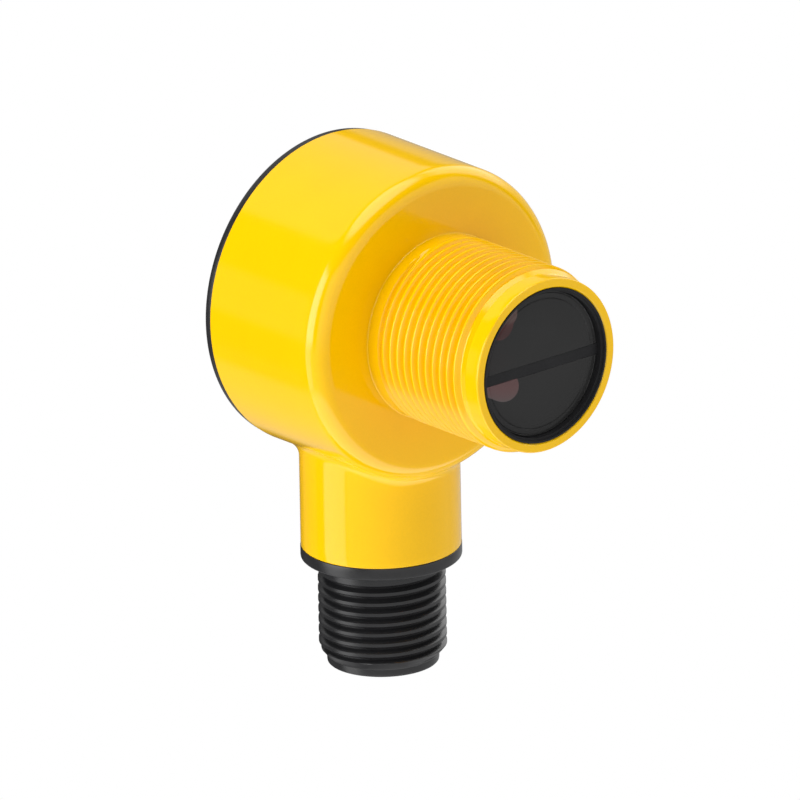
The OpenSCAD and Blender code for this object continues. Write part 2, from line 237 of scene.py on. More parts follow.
def baked(piece):
    """Replaces a piece's mesh with what its modifiers make of it."""
    graph = bpy.context.evaluated_depsgraph_get()
    result = bpy.data.meshes.new_from_object(piece.evaluated_get(graph))
    piece.modifiers.clear()
    piece.data = result


def cut(piece, shapes, operation="DIFFERENCE"):
    """Takes closed shapes away from a piece, or adds them to it."""
    for shape in shapes:
        cutter = link("cutter", shape.mesh("cutter"))
        modifier = piece.modifiers.new("cut", "BOOLEAN")
        modifier.object = cutter
        modifier.operation = operation
        modifier.solver = "EXACT"
        baked(piece)
        weld(piece.data, FINE * MM / 3)
        bpy.data.objects.remove(cutter)


def smooth(piece, sharp_angle=28):
    """Smooth shading, with edges over that angle left sharp and flat faces kept flat."""
    mesh = piece.data
    mesh.polygons.foreach_set("use_smooth", [True] * len(mesh.polygons))
    mesh.set_sharp_from_angle(angle=math.radians(sharp_angle))
    modifier = piece.modifiers.new("flat faces", "WEIGHTED_NORMAL")
    modifier.keep_sharp = True


def stand_for(node, body, piece):
    """Shows a piece in place of a CAD node, with that node's material."""
    smooth(piece)
    piece.data.materials.clear()
    piece.data.materials.append(materials[node_slot[node]])
    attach(piece, body)
    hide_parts(node)


# ---------------------------------------------------------------- threads

def eased(share):
    """Runs from 0 to 1 with the share, smooth at both ends."""
    share = min(1.0, max(0.0, share))
    return share * share * (3 - 2 * share)


def rounded_thread(t, crest, root):
    """Depth from 0 to 1 of a thread at t, the share of a pitch from the crest's middle."""
    t = abs((t + 0.5) % 1.0 - 0.5)
    share = (t - crest / 2) / (0.5 - crest / 2 - root / 2)
    share = min(1.0, max(0.0, share))
    softness = 0.35     # 0 for straight flanks with sharp ends
    return eased(share) * softness + share * (1 - softness)


def thread_radius(form, envelope, crest_r):
    """The function of a thread's surface that threaded asks for."""

    def radius(h, groove_h, t):
        depth = rounded_thread(t, form["crest"], form["root"]) * thread_depth
        depth *= eased((form["end"] - groove_h) / form["run_out"])
        return min(envelope(h), crest_r - depth)

    return radius


def threaded(shape, angles, low, high, phase, radius, place):
    """A right-handed helical grid between two circles. Its rows follow the thread, so no ridge is stepped.

    phase is the height of a crest at angle 0, and radius(h, groove_h, t) the surface there: groove_h is
    the height of the middle of the nearest groove, and t the share of a pitch from the crest.
    """
    spare = 2           # turns beyond each end, which fold up on the two circles
    first = math.floor((low - phase) / pitch) - spare
    last = math.ceil((high - phase) / pitch) + spare
    rows = []
    for a in angles:
        sunk = pitch * a / (2 * math.pi)
        column = []
        for turn in range(first, last):
            groove_h = phase + (turn + 0.5) * pitch - sunk
            for t in THREAD_KNOTS:
                h = min(high, max(low, phase + (turn + t) * pitch - sunk))
                column.append(place(radius(h, groove_h, t), a, h))
        rows.append(shape.column(column))
    for left, right in zip(rows, rows[1:]):
        shape.strip(left, right)
    # after a whole turn the rows are one pitch further along
    count = len(THREAD_KNOTS)
    shape.strip(rows[-1][count:], rows[0][:-count])


# Shares of a pitch at which rows lie
THREAD_KNOTS = [0, 0.06, 0.1, 0.15, 0.21, 0.28, 0.35, 0.4, 0.45, 0.5,
                0.55, 0.6, 0.65, 0.72, 0.79, 0.85, 0.9, 0.94]

# Widths of crest and root as shares of a pitch, the height of a crest, and where the thread has run out
barrel_thread = {"crest": 0.18, "root": 0.16, "phase": -2.0, "end": -1.50, "run_out": 0.12}
plug_thread = {"crest": 0.3, "root": 0.05, "phase": -27.07, "end": -25.3, "run_out": 0.2}


def barrel_envelope(h):
    """Radius of the barrel's outside before the thread is cut."""
    cone = nose_r + (h - nose_y - nose_band) / lead_in * (barrel_r - nose_r)
    ramp = barrel_r - (barrel_r - collar_r) * min(1.0, max(0.0, (h + collar_len + collar_ramp) / collar_ramp))
    return min(cone, ramp)


# ---------------------------------------------------------------- housing

def neck_fillet(theta):
    """Middle of the ball that rolls between the neck and the body, at an angle round the neck.

    Also where it touches the body: the angle about the body's axis from its lowest line, and w.
    """
    x = (neck_r + fillet_r) * math.sin(theta)
    y = neck_y + (neck_r + fillet_r) * math.cos(theta)
    if y >= body_edge_r:
        distance = body_r + fillet_r
        w = y
    else:
        sink = body_edge_r - y
        distance = body_r - body_edge_r + math.sqrt((body_edge_r + fillet_r) ** 2 - sink ** 2)
        w = body_edge_r * (1 - math.asin(sink / (body_edge_r + fillet_r)))
    return Vector((x, y, -math.sqrt(distance ** 2 - x * x))), math.asin(x / distance), w


def on_body(angle, w):
    """A point of the body's outside. w is y on the side, and runs on round the front edge."""
    turn = max(0.0, 1 - w / body_edge_r)
    radius = body_r - body_edge_r * (1 - math.cos(turn))
    y = max(w, body_edge_r) - body_edge_r * math.sin(turn)
    return (radius * math.sin(angle), y, -radius * math.cos(angle))


def solve(function, target, low, high):
    """The value between low and high at which a rising function reaches target."""
    halvings = 60
    for _ in range(halvings):
        middle = (low + high) / 2
        if function(middle) < target:
            low = middle
        else:
            high = middle
    return (low + high) / 2


# The patch of the body's outside round the neck: its half width as an angle, and its ends in w
PATCH_HALF = 0.8
PATCH_REAR = seam_y
PATCH_FRONT = body_edge_r * (1 - math.pi / 2)


def patch_ray(theta):
    """The way from the neck's axis to the fillet's edge, on the body unrolled: across and in w."""
    _, angle, w = neck_fillet(theta)
    return angle * body_r, w - neck_y


def patch_angle(theta):
    """That way as an angle from the rear, on the body unrolled."""
    return math.atan2(*patch_ray(theta))


def patch_edge(theta):
    """The point of the patch's border that lies beyond the fillet at that angle, as angle and w."""
    across, along = patch_ray(theta)
    reach = []
    if abs(across) > FINE:
        reach.append(PATCH_HALF * body_r / abs(across))
    if along > 0:
        reach.append((PATCH_REAR - neck_y) / along)
    if along < 0:
        reach.append((PATCH_FRONT - neck_y) / along)
    scale = min(reach)
    return across * scale / body_r, neck_y + along * scale


def steps(start, end, count):
    """The start and the values after it in equal steps, without the end."""
    return [start + (end - start) * i / count for i in range(count)]


def neck_angles():
    """Half of the neck's columns, from the rear to the front, and the angles where they change kind.

    Up to behind the neck stands behind the seam, and from touching on its fillet meets the body. The
    patch's border runs along the seam up to corner, and along the body's front face from turned on.
    """
    behind = math.acos((seam_y - neck_y) / neck_r)
    touching = math.acos((seam_y - neck_y) / (neck_r + fillet_r))
    width = PATCH_HALF * body_r
    corner = solve(patch_angle, math.atan2(width, PATCH_REAR - neck_y), touching, math.pi)
    edge = solve(patch_angle, math.atan2(width, body_edge_r - neck_y), touching, math.pi)
    turned = solve(patch_angle, math.atan2(width, PATCH_FRONT - neck_y), touching, math.pi)
    half = (steps(0, behind, 12) + steps(behind, touching, 6) + steps(touching, corner, 10)
            + steps(corner, edge, 18) + steps(edge, turned, 12) + steps(turned, math.pi, 34) + [math.pi])
    return half, behind, touching, corner, turned


def fillet_arc(theta):
    """Points from the neck up to the body, ending at the seam plane where that comes first."""
    count = 14
    middle, angle, w = neck_fillet(theta)
    start = Vector((-math.sin(theta), -math.cos(theta), 0))
    end = (Vector(on_body(angle, w)) - middle).normalized()
    sweep = start.angle(end)
    side = (end - start * math.cos(sweep)).normalized()

    def at(share):
        turn = sweep * share
        return middle + fillet_r * (start * math.cos(turn) + side * math.sin(turn))

    full = 1.0
    if at(0).y >= seam_y - FINE / 10:
        full = 0.0
    elif at(1).y > seam_y:
        full = solve(lambda share: at(share).y, seam_y, 0.0, 1.0)
    return [at(full * i / count) for i in range(count + 1)]


def add_neck(shape, thetas):
    """The neck from its lower edge up to the top of the fillet, one column of points for each angle."""
    rows = 12
    columns = []
    for theta in thetas:
        top = fillet_arc(theta)
        low_edge = arc((neck_r - neck_edge_r, neck_bottom + neck_edge_r), neck_edge_r, -90, 0, 4)
        points = [about_neck(r, theta, h) for r, h in low_edge]
        start = neck_bottom + neck_edge_r
        points += [about_neck(neck_r, theta, start + (top[0].z - start) * i / rows) for i in range(1, rows)]
        points += [tuple(p) for p in top]
        fold = min(theta, 2 * math.pi - theta)
        columns.append({"neck": shape.column(points), "theta": theta, "fold": fold, "top": top})
    for i, column in enumerate(columns):
        shape.strip(column["neck"], columns[(i + 1) % len(columns)]["neck"])
    shape.face([c["neck"][0] for c in columns])
    return columns


def add_patch(shape, columns, touching, corner, turned):
    """The body's outside round the fillet.

    Returns the angles on its front and its rear border, and the levels w on its sides.
    """
    rows = 14
    front_line, rear_line, side_levels = [], [], []
    for column in columns:
        if column["fold"] < touching - SLACK:
            continue
        _, angle0, w0 = neck_fillet(column["theta"])
        angle1, w1 = patch_edge(column["theta"])
        points = [on_body(angle0 + (angle1 - angle0) * i / rows, w0 + (w1 - w0) * i / rows)
                  for i in range(rows + 1)]
        column["patch"] = shape.column(points)
        if column["fold"] >= turned - SLACK:
            front_line.append(angle1)
        if column["fold"] <= corner + SLACK:
            rear_line.append(angle1)
        if corner - SLACK <= column["fold"] <= turned + SLACK and angle1 > 0:
            side_levels.append(w1)
    for i, column in enumerate(columns):
        following = columns[(i + 1) % len(columns)]
        if "patch" in column and "patch" in following:
            shape.strip(column["patch"], following["patch"])
    return front_line, rear_line, side_levels


def add_saddle(shape, columns, behind, touching):
    """The neck's rear, which stands behind the seam, and the saddle in it. Returns the saddle's angles."""
    seat, cut_ends = [], []
    for column in columns:
        x = neck_r * math.sin(column["theta"])
        y = neck_y + neck_r * math.cos(column["theta"])
        if column["fold"] <= behind + SLACK:
            z = -math.sqrt(body_r ** 2 - x * x)
            seat.append((column["theta"], shape.column([column["top"][0], (x, y, z), (x, seam_y, z)])))
        if behind - SLACK <= column["fold"] <= touching + SLACK:
            cut_ends.append(column)
    seat.sort(key=lambda item: math.sin(item[0]))
    for (_, left), (_, right) in zip(seat, seat[1:]):
        shape.strip(left, right)
    for sign in (-1, 1):
        cuts = [c for c in cut_ends if sign * math.sin(c["theta"]) > 0]
        cuts.sort(key=lambda c: -c["fold"])
        corner_x = neck_r * math.sin(behind) * sign
        shape.face(shape.column([c["top"][-1] for c in cuts]
                                + [(corner_x, seam_y, -math.sqrt(body_r ** 2 - corner_x ** 2))]))
    return [theta for theta, _ in seat]


def add_barrel(shape, ring):
    """The front face, the collar, the thread and the nose, which share one set of angles."""

    def place(r, a, h):
        return (r * math.sin(a), h, -r * math.cos(a))

    foot = arc((collar_r + collar_foot_r, -collar_foot_r), collar_foot_r, 90, 180, 4)
    face = [(body_r - body_edge_r, 0.0)] + foot + [(collar_r, thread_back)]
    shape.grid([[place(r, a, h) for r, h in face] for a in ring])
    # angles here start at the bottom, so the thread's phase moves by half a turn
    thread_front = nose_y + nose_band
    threaded(shape, ring, thread_front, thread_back, barrel_thread["phase"] + pitch / 2,
             thread_radius(barrel_thread, barrel_envelope, barrel_r), place)
    nose = [(nose_r, thread_front), (nose_r, nose_y + nose_band / 2)]
    nose += arc((nose_r - nose_edge_r, nose_y + nose_edge_r), nose_edge_r, 0, -90, 5)
    rows = shape.grid([[place(r, a, h) for r, h in nose] for a in ring])
    shape.face([row[-1] for row in rows])


def in_turn(angles):
    """The angles of one turn in order, each only once."""
    return sorted({round(a % (2 * math.pi), 9) for a in angles})


def housing_shape():
    """The housing's outside as one closed solid."""
    shape = Shape()
    half, behind, touching, corner, turned = neck_angles()
    columns = add_neck(shape, half + [2 * math.pi - t for t in reversed(half[1:-1])])
    front_line, rear_line, side_levels = add_patch(shape, columns, touching, corner, turned)
    saddle = add_saddle(shape, columns, behind, touching)

    # the rest of the body's side and front edge
    start, end = PATCH_HALF, 2 * math.pi - PATCH_HALF
    count = int(SEGMENTS * (end - start) / (2 * math.pi))
    sides = [start + (end - start) * i / count for i in range(count + 1)]
    shape.grid([[on_body(a, w) for w in side_levels] for a in sides], closed=False)

    # the seam plane, closed as one flat face
    seam = in_turn(rear_line + sides[1:-1] + [math.asin(neck_r * math.sin(t) / body_r) for t in saddle])
    shape.face(shape.column([on_body(a, seam_y) for a in seam]))
    add_barrel(shape, in_turn(sides + front_line))
    return shape


def housing_cutters():
    """The window, the barrel's bore and the cavity as one turned shape, then the neck's bores."""
    inside = Shape()
    inside.lathe([(window_r + window_lip, nose_y - OVER), (window_r + window_lip, nose_y - FINE),
                  (window_r, nose_y + window_lip), (window_r, lens_seat_y), (barrel_bore_r, lens_seat_y),
                  (barrel_bore_r, front_wall), (cavity_front_r, front_wall), (cavity_front_r, shelf_y),
                  (cavity_r, shelf_y), (cavity_r, seam_y + OVER)], ring_angles(SEGMENTS), about_y)
    neck = Shape()
    neck.lathe([(neck_bore_r, neck_bottom - OVER), (neck_bore_r, neck_bore_top), (wire_way_r, neck_bore_top),
                (wire_way_r, -cavity_front_r + OVER)], ring_angles(96), about_neck)
    return [inside, neck]


# ---------------------------------------------------------------- materials

def shade(colour, factor):
    """A colour made lighter or darker."""
    return tuple(min(1.0, c * factor) for c in colour)


def surface(name, colour, roughness, grain=0.3, mottle=0.04, uneven=0.04, relief=0.0, ior=1.5, metal=0.0,
            stretch=(1, 1, 1), second=None):
    """A material whose colour, gloss and height vary.

    grain is the size of its marks in millimetres, mottle the share by which the colour varies, uneven
    that of the roughness, relief the marks' height in millimetres, and second a colour in the marks.
    """
    material = bpy.data.materials.new(name)
    material.use_nodes = True
    nodes, links = material.node_tree.nodes, material.node_tree.links
    shader = nodes["Principled BSDF"]
    shader.inputs["IOR"].default_value = ior
    shader.inputs["Metallic"].default_value = metal
    place = nodes.new("ShaderNodeTexCoord")
    stretched = nodes.new("ShaderNodeMapping")
    stretched.inputs["Scale"].default_value = stretch
    links.new(place.outputs["Object"], stretched.inputs["Vector"])

    def noise(size, detail):
        node = nodes.new("ShaderNodeTexNoise")
        node.inputs["Scale"].default_value = 1 / (size * MM)
        node.inputs["Detail"].default_value = detail
        links.new(stretched.outputs["Vector"], node.inputs["Vector"])
        return node.outputs["Fac"]

    # mostly small marks, with slow changes 18 times their size
    fine, slow = noise(grain, 3.0), noise(grain * 18, 2.0)
    fine_share = 0.6
    blend = nodes.new("ShaderNodeMath")
    blend.operation = "MULTIPLY_ADD"
    blend.inputs[1].default_value = fine_share
    links.new(fine, blend.inputs[0])
    rest = nodes.new("ShaderNodeMath")
    rest.operation = "MULTIPLY"
    rest.inputs[1].default_value = 1 - fine_share
    links.new(slow, rest.inputs[0])
    links.new(rest.outputs[0], blend.inputs[2])
    ramp = nodes.new("ShaderNodeValToRGB")
    dark, light = ramp.color_ramp.elements
    dark.position, light.position = 0.3, 0.7
    dark.color = (*(second or shade(colour, 1 - mottle)), 1)
    light.color = (*shade(colour, 1 + mottle), 1)
    links.new(blend.outputs[0], ramp.inputs["Fac"])
    links.new(ramp.outputs["Color"], shader.inputs["Base Color"])
    gloss = nodes.new("ShaderNodeMapRange")
    gloss.inputs["To Min"].default_value = max(0.0, roughness - uneven)
    gloss.inputs["To Max"].default_value = roughness + uneven
    links.new(blend.outputs[0], gloss.inputs["Value"])
    links.new(gloss.outputs["Result"], shader.inputs["Roughness"])
    if relief:
        bump = nodes.new("ShaderNodeBump")
        bump.inputs["Distance"].default_value = relief * MM
        bump.inputs["Strength"].default_value = 1.0
        links.new(fine, bump.inputs["Height"])
        links.new(bump.outputs["Normal"], shader.inputs["Normal"])
    return material


def see_through(material, alpha):
    """Lets that share of the light be held back, and the rest pass straight through."""
    material.node_tree.nodes["Principled BSDF"].inputs["Alpha"].default_value = alpha
    return material


def smoked(material, alpha):
    """Holds back that share of the light where it goes into the piece, and lets all of it out again."""
    tree = material.node_tree
    side = tree.nodes.new("ShaderNodeNewGeometry").outputs["Backfacing"]
    share = tree.nodes.new("ShaderNodeMapRange")
    share.inputs["To Min"].default_value = alpha
    share.inputs["To Max"].default_value = 0.0
    tree.links.new(side, share.inputs["Value"])
    tree.links.new(share.outputs["Result"], tree.nodes["Principled BSDF"].inputs["Alpha"])
    return material


def painted_package_glow(material, painted_glows):
    """Painted glow and shade: an emission colour graded by height that makes a package glow, the receiver
    too, though it is no lamp; heights in millimetres, each with its colour.
    """
    tree = material.node_tree
    shader = tree.nodes["Principled BSDF"]
    lowest, highest = painted_glows[0][0], painted_glows[-1][0]
    split = tree.nodes.new("ShaderNodeSeparateXYZ")
    tree.links.new(tree.nodes.new("ShaderNodeNewGeometry").outputs["Position"], split.inputs["Vector"])
    height = tree.nodes.new("ShaderNodeMapRange")
    height.inputs["From Min"].default_value = lowest * MM
    height.inputs["From Max"].default_value = highest * MM
    tree.links.new(split.outputs["Z"], height.inputs["Value"])
    ramp = tree.nodes.new("ShaderNodeValToRGB")
    stops = ramp.color_ramp.elements
    for z, _ in painted_glows[1:-1]:
        stops.new((z - lowest) / (highest - lowest))
    for stop, (_, colour) in zip(stops, painted_glows):
        stop.color = (*colour, 1)
    tree.links.new(height.outputs["Result"], ramp.inputs["Fac"])
    tree.links.new(ramp.outputs["Color"], shader.inputs["Emission Color"])
    shader.inputs["Emission Strength"].default_value = 1.0
    return material


# Painted glow and shade: both packages glow paler away from the bar and redder next to it, as they look
# through the lenses
PACKAGE_PAINTED_GLOW = [(-5.7, (0.45, 0.45, 0.45)), (-5.0, (0.75, 0.6, 0.6)), (-4.4, (0.9, 0.52, 0.52)),
                 (-3.4, (0.97, 0.43, 0.43)), (1.5, (0.3, 0.03, 0.03)), (2.7, (0.48, 0.1, 0.1)),
                 (3.2, (0.75, 0.42, 0.38)), (5.7, (0.75, 0.45, 0.4))]
ALONG_Z, ALONG_Y = (1, 1, 0.3), (1, 0.2, 1)

# In surface's order: name, colour, roughness, grain, mottle, uneven, relief and refractive index
materials = {
    "housing_yellow": surface("housing_yellow", (0.87, 0.505, 0.0), 0.1, 0.22, 0.03, 0.03, 0.0006, 1.45),
    "black_plastic": surface("black_plastic", (0.011, 0.011, 0.012), 0.3, 0.25, 0.15, 0.05, 0.002),
    "lens_smoke": smoked(surface("lens_smoke", (0.0285, 0.0285, 0.0285), 0.08, 3.0, 0.04, 0.01, 0.0, 1.25),
                         0.92),
    "window_black": surface("window_black", (0.0205, 0.0205, 0.0215), 0.35, 0.2, 0.15, 0.05, 0.001, 1.15),
    # led_rose carries the painted glow: an emission colour graded by height, paler away from the bar and
    # redder next to it
    "led_rose": painted_package_glow(surface("led_rose", (0.8, 0.42, 0.42), 0.2, 0.6, 0.05, 0.05,
                                    second=(0.6, 0.25, 0.25)), PACKAGE_PAINTED_GLOW),
    "clear_plastic": see_through(surface("clear_plastic", (0.8, 0.82, 0.82), 0.12, 1.5, 0.03, 0.05), 0.6),
    "seal_rubber": surface("seal_rubber", (0.012, 0.012, 0.012), 0.6, 0.2, 0.2, 0.1, 0.004),
    "board_green": surface("board_green", (0.012, 0.12, 0.045), 0.3, 0.6, 0.15, 0.08, 0.003,
                           second=(0.008, 0.09, 0.03)),
    "chip_black": surface("chip_black", (0.018, 0.018, 0.018), 0.55, 0.12, 0.2, 0.08, 0.004),
    "capacitor_tan": surface("capacitor_tan", (0.42, 0.28, 0.14), 0.5, 0.15, 0.12, 0.08, 0.002),
    "indicator_green": surface("indicator_green", (0.3, 0.7, 0.35), 0.3, 0.4, 0.06, 0.06),
    "indicator_amber": surface("indicator_amber", (0.85, 0.5, 0.12), 0.3, 0.4, 0.06, 0.06),
    "lead_tin": surface("lead_tin", (0.66, 0.66, 0.67), 0.32, 0.12, 0.08, 0.08, 0.001, metal=1.0,
                        stretch=ALONG_Y),
    "contact_gold": surface("contact_gold", (0.83, 0.62, 0.26), 0.22, 0.12, 0.06, 0.06, 0.001, metal=1.0,
                            stretch=(1, 1, 0.2)),
    "adjuster_white": surface("adjuster_white", (0.72, 0.72, 0.68), 0.4, 0.3, 0.04, 0.08, 0.002),
    "trimmer_blue": surface("trimmer_blue", (0.02, 0.08, 0.36), 0.3, 0.3, 0.08, 0.05, 0.002),
    "wire_brown": surface("wire_brown", (0.13, 0.05, 0.018), 0.45, 0.3, 0.1, 0.08, 0.003, stretch=ALONG_Z),
    "wire_white": surface("wire_white", (0.75, 0.75, 0.72), 0.45, 0.3, 0.04, 0.08, 0.003, stretch=ALONG_Z),
    "wire_blue": surface("wire_blue", (0.015, 0.07, 0.36), 0.45, 0.3, 0.1, 0.08, 0.003, stretch=ALONG_Z),
    "wire_black": surface("wire_black", (0.014, 0.014, 0.014), 0.45, 0.3, 0.15, 0.08, 0.003, stretch=ALONG_Z),
}
node_slot = {part["node"]: part["material_slot"] for part in frame["record"]["subparts"]}
for node, cad_object in frame["nodes"].items():
    cad_object.data.materials.clear()
    cad_object.data.materials.append(materials[node_slot[node]])


# ---------------------------------------------------------------- plug

plug_tip = shell_low.z
plug_flange_t = 1.17
plug_r = 5.94
plug_tip_r = 5.2
plug_tip_len = 0.75
plug_cone_len = 0.9
plug_spigot_r = neck_bore_r - 0.05
spigot_top = shell_high.z
plug_seal_z = spigot_top - 1.6
seal_groove_depth, seal_groove_w = 0.8, 0.86
socket_r = 4.3
socket_floor = mm_box("contact_carrier")[0].z
carrier_flange = 0.8
key_angle = math.radians(-45)
key_half_angle = math.radians(7.7)
key_r = 3.7
core_r = 3.0            # where the outlines of both ends start, within the socket
small_edge = 0.08       # rounding of a moulded edge


def plug_envelope(h):
    """Radius of the plug's outside before the thread is cut."""
    cone = plug_tip_r + (h - plug_tip - plug_tip_len) / plug_cone_len * (plug_r - plug_tip_r)
    return min(cone, plug_r)


def connector_shell_shape():
    """The plug's outside as one closed solid, with its flange, seal groove and spigot."""
    shape = Shape()
    angles = ring_angles(192)
    under_flange = neck_bottom - plug_flange_t
    thread_top = under_flange - 0.2
    thread_low = plug_tip + plug_tip_len
    seal_low, seal_high = plug_seal_z - seal_groove_w / 2, plug_seal_z + seal_groove_w / 2
    groove_r = plug_spigot_r - seal_groove_depth
    top = rounded([(core_r, spigot_top), (plug_spigot_r, spigot_top, 0.2), (plug_spigot_r, seal_high),
                   (groove_r, seal_high), (groove_r, seal_low), (plug_spigot_r, seal_low),
                   (plug_spigot_r, neck_bottom, 0), (flange_r, neck_bottom), (flange_r, under_flange, 0.22),
                   (plug_r, under_flange, 0.15), (plug_r, thread_top)], small_edge)
    shape.lathe(top, angles, about_neck, open_end=True)
    threaded(shape, angles, thread_low, thread_top, plug_thread["phase"],
             thread_radius(plug_thread, plug_envelope, plug_r), about_neck)
    tip = rounded([(core_r, plug_tip), (plug_tip_r, plug_tip, 0.28), (plug_tip_r, thread_low)], 0)
    shape.lathe(tip, angles, about_neck, open_end=True)
    return shape


def socket_cutter():
    """The socket with its key, and the wider bore above it that holds the carrier's flange."""
    cutter = Shape()
    count = 92
    start, sweep = key_angle + key_half_angle, 2 * math.pi - 2 * key_half_angle
    around = [(socket_r, start + sweep * i / count) for i in range(count + 1)]
    around += [(key_r / math.cos(key_half_angle * s), key_angle + key_half_angle * s) for s in (-1, 0, 1)]
    wide = socket_r + 0.3
    step_z = spigot_top - carrier_flange
    columns = [[about_neck(r, a, plug_tip - OVER), about_neck(r, a, socket_floor),
                about_neck(socket_r, a, socket_floor), about_neck(socket_r, a, step_z),
                about_neck(wide, a, step_z), about_neck(wide, a, spigot_top + OVER)] for r, a in around]
    rows = cutter.grid(columns)
    for end in (0, -1):
        cutter.face([row[end] for row in rows])
    return cutter


# ---------------------------------------------------------------- rear cover, adjuster and light pipes

cover_back = cover_high.y
cover_r = cover_high.x
panel_r = 12.0          # the recessed panel, and its floor
panel_y = cover_back - 0.3
spigot_r = cavity_r - 0.08
spigot_len = 1.85
spigot_wall = 1.2
cover_seal_y = seam_y - 0.92
board_back = main_board_high.y
leg_r = 1.0
leg_circle_r = spigot_r - spigot_wall - 0.7
leg_angles = [math.radians(a) for a in (0, 120, 240)]
adjuster_z = (adjuster_low.z + adjuster_high.z) / 2
spindle_r = 1.95
spindle_back = adjuster_high.y
boss_r = 3.6
boss_y = seam_y - 1.2
running_gap = 0.05
into = 0.3              # how far a shape that is added reaches into what it joins
pipe_r = 1.2
pipe_x = -(power_pipe_low.x + power_pipe_high.x) / 2
pipe_z = (power_pipe_low.z + power_pipe_high.z) / 2
pipe_front = power_pipe_low.y


def rear_cover_shape():
    """The cover with its recessed panel, its spigot and the groove for its seal, without holes."""
    shape = Shape()
    seal_low, seal_high = cover_seal_y - seal_groove_w / 2, cover_seal_y + seal_groove_w / 2
    inner_r = spigot_r - spigot_wall
    groove_r = spigot_r - seal_groove_depth
    panel_draft = 0.15
    spigot_front = seam_y - spigot_len
    outline = rounded([(0, panel_y), (panel_r, panel_y, 0.12), (panel_r + panel_draft, cover_back, 0.1),
                       (cover_r, cover_back, 0.25), (cover_r, seam_y), (spigot_r, seam_y, 0),
                       (spigot_r, seal_high), (groove_r, seal_high), (groove_r, seal_low),
                       (spigot_r, seal_low), (spigot_r, spigot_front, 0.2), (inner_r, spigot_front),
                       (inner_r, seam_y, 0.2), (0, seam_y)], small_edge)
    shape.lathe(outline, ring_angles(SEGMENTS), about_y)
    return shape


def rod(radius, start, end, x=0.0, z=0.0, count=64):
    """A round bar along Y."""
    shape = Shape()
    shape.lathe([(0, start), (radius, start), (radius, end), (0, end)], ring_angles(count),
                lambda r, a, h: about_y(r, a, h, x, z))
    return shape


def ring_groove(radius, width, depth, x, z):
    """A shallow V-shaped groove round a hole in the cover's panel."""
    shape = Shape()
    half = width / 2
    outline = [(radius - half, panel_y + depth), (radius, panel_y - depth), (radius + half, panel_y + depth)]
    shape.lathe(outline, ring_angles(64), lambda r, a, h: about_y(r, a, h, x, z), closed=True)
    return shape


def rear_cover_piece():
    """The cover with the boss and legs inside, and the holes for the adjuster and the light pipes."""
    piece = link("rear_cover_moulding", rear_cover_shape().mesh("rear_cover_moulding"))
    cut(piece, [rod(boss_r, boss_y, seam_y + into, z=adjuster_z)], "UNION")
    legs = [(leg_circle_r * math.sin(a), leg_circle_r * math.cos(a)) for a in leg_angles]
    cut(piece, [rod(leg_r, board_back, seam_y + into, x, z, 32) for x, z in legs], "UNION")
    pipes_x = (-pipe_x, pipe_x)
    holes = [rod(spindle_r + running_gap, board_back, cover_back + OVER, z=adjuster_z)]
    holes += [rod(pipe_r + running_gap, board_back, cover_back + OVER, x, pipe_z, 48) for x in pipes_x]
    holes += [ring_groove(spindle_r + 0.75, 0.3, 0.15, 0.0, adjuster_z)]
    holes += [ring_groove(pipe_r + 0.55, 0.24, 0.12, x, pipe_z) for x in pipes_x]
    cut(piece, holes)
    return piece


def adjuster_piece():
    """The spindle with its collar, seal groove and screwdriver slot, and the blade in the rotor."""
    _, rotor_high = mm_box("trimmer_rotor")
    shank_r = 1.4
    shank_y = rotor_high.y + 0.3
    collar_w = adjuster_high.x
    collar_y = boss_y - 0.85
    collar_back = boss_y - running_gap
    seal_y, groove_half = boss_y + 0.75, 0.38
    groove_low, groove_high = seal_y - groove_half, seal_y + groove_half
    groove_r = spindle_r - 0.7
    outline = rounded([(0, shank_y), (shank_r, shank_y), (shank_r, collar_y), (collar_w, collar_y),
                       (collar_w, collar_back), (spindle_r, collar_back), (spindle_r, groove_low),
                       (groove_r, groove_low), (groove_r, groove_high), (spindle_r, groove_high),
                       (spindle_r, spindle_back, 0.2), (0, spindle_back)], 0.06)
    shape = Shape()
    shape.lathe(outline, ring_angles(96), lambda r, a, h: about_y(r, a, h, z=adjuster_z))
    piece = link("gain_adjuster_spindle", shape.mesh("gain_adjuster_spindle"))

    blade = Shape()
    half_w, half_t = 1.6, 0.35
    section = [(-half_w, -half_t), (half_w, -half_t), (half_w, half_t), (-half_w, half_t)]
    blade.extrude(section, adjuster_low.y, shank_y + into, lambda u, v, h: (u, h, adjuster_z + v))
    cut(piece, [blade], "UNION")

    # a slot with bevelled edges, and a round dimple that marks one end of it
    slot = Shape()
    reach, half_slot = spindle_r + OVER, 0.3
    slot_floor = spindle_back - 0.7
    bevel, bevel_low, bevel_high = 0.3, spindle_back - 0.1, spindle_back + 0.2
    section = [(half_slot + bevel, bevel_high), (half_slot, bevel_low), (half_slot, slot_floor),
               (-half_slot, slot_floor), (-half_slot, bevel_low), (-half_slot - bevel, bevel_high)]
    slot.extrude(section, -reach, reach, lambda u, v, h: (h, v, adjuster_z + u))
    mark = rod(0.28, spindle_back - 0.2, spindle_back + OVER, z=adjuster_z + 1.1, count=24)
    cut(piece, [slot, mark])
    return piece


def light_pipe_shape(x):
    """A clear rod with a flange behind the cover and a slightly domed end."""
    shape = Shape()
    flange_t, flange_w, dome = 0.8, 1.8, 0.12
    outline = rounded([(0, pipe_front), (pipe_r, pipe_front, 0.1), (pipe_r, seam_y - flange_t),
                       (flange_w, seam_y - flange_t), (flange_w, seam_y), (pipe_r, seam_y, 0),
                       (pipe_r, panel_y - dome)], 0.05)
    outline += [(pipe_r * math.cos(math.radians(t)), panel_y - dome + dome * math.sin(math.radians(t)))
                for t in range(15, 91, 15)]
    shape.lathe(outline, ring_angles(64), lambda r, a, h: about_y(r, a, h, x, pipe_z))
    return shape


# ---------------------------------------------------------------- lens frame

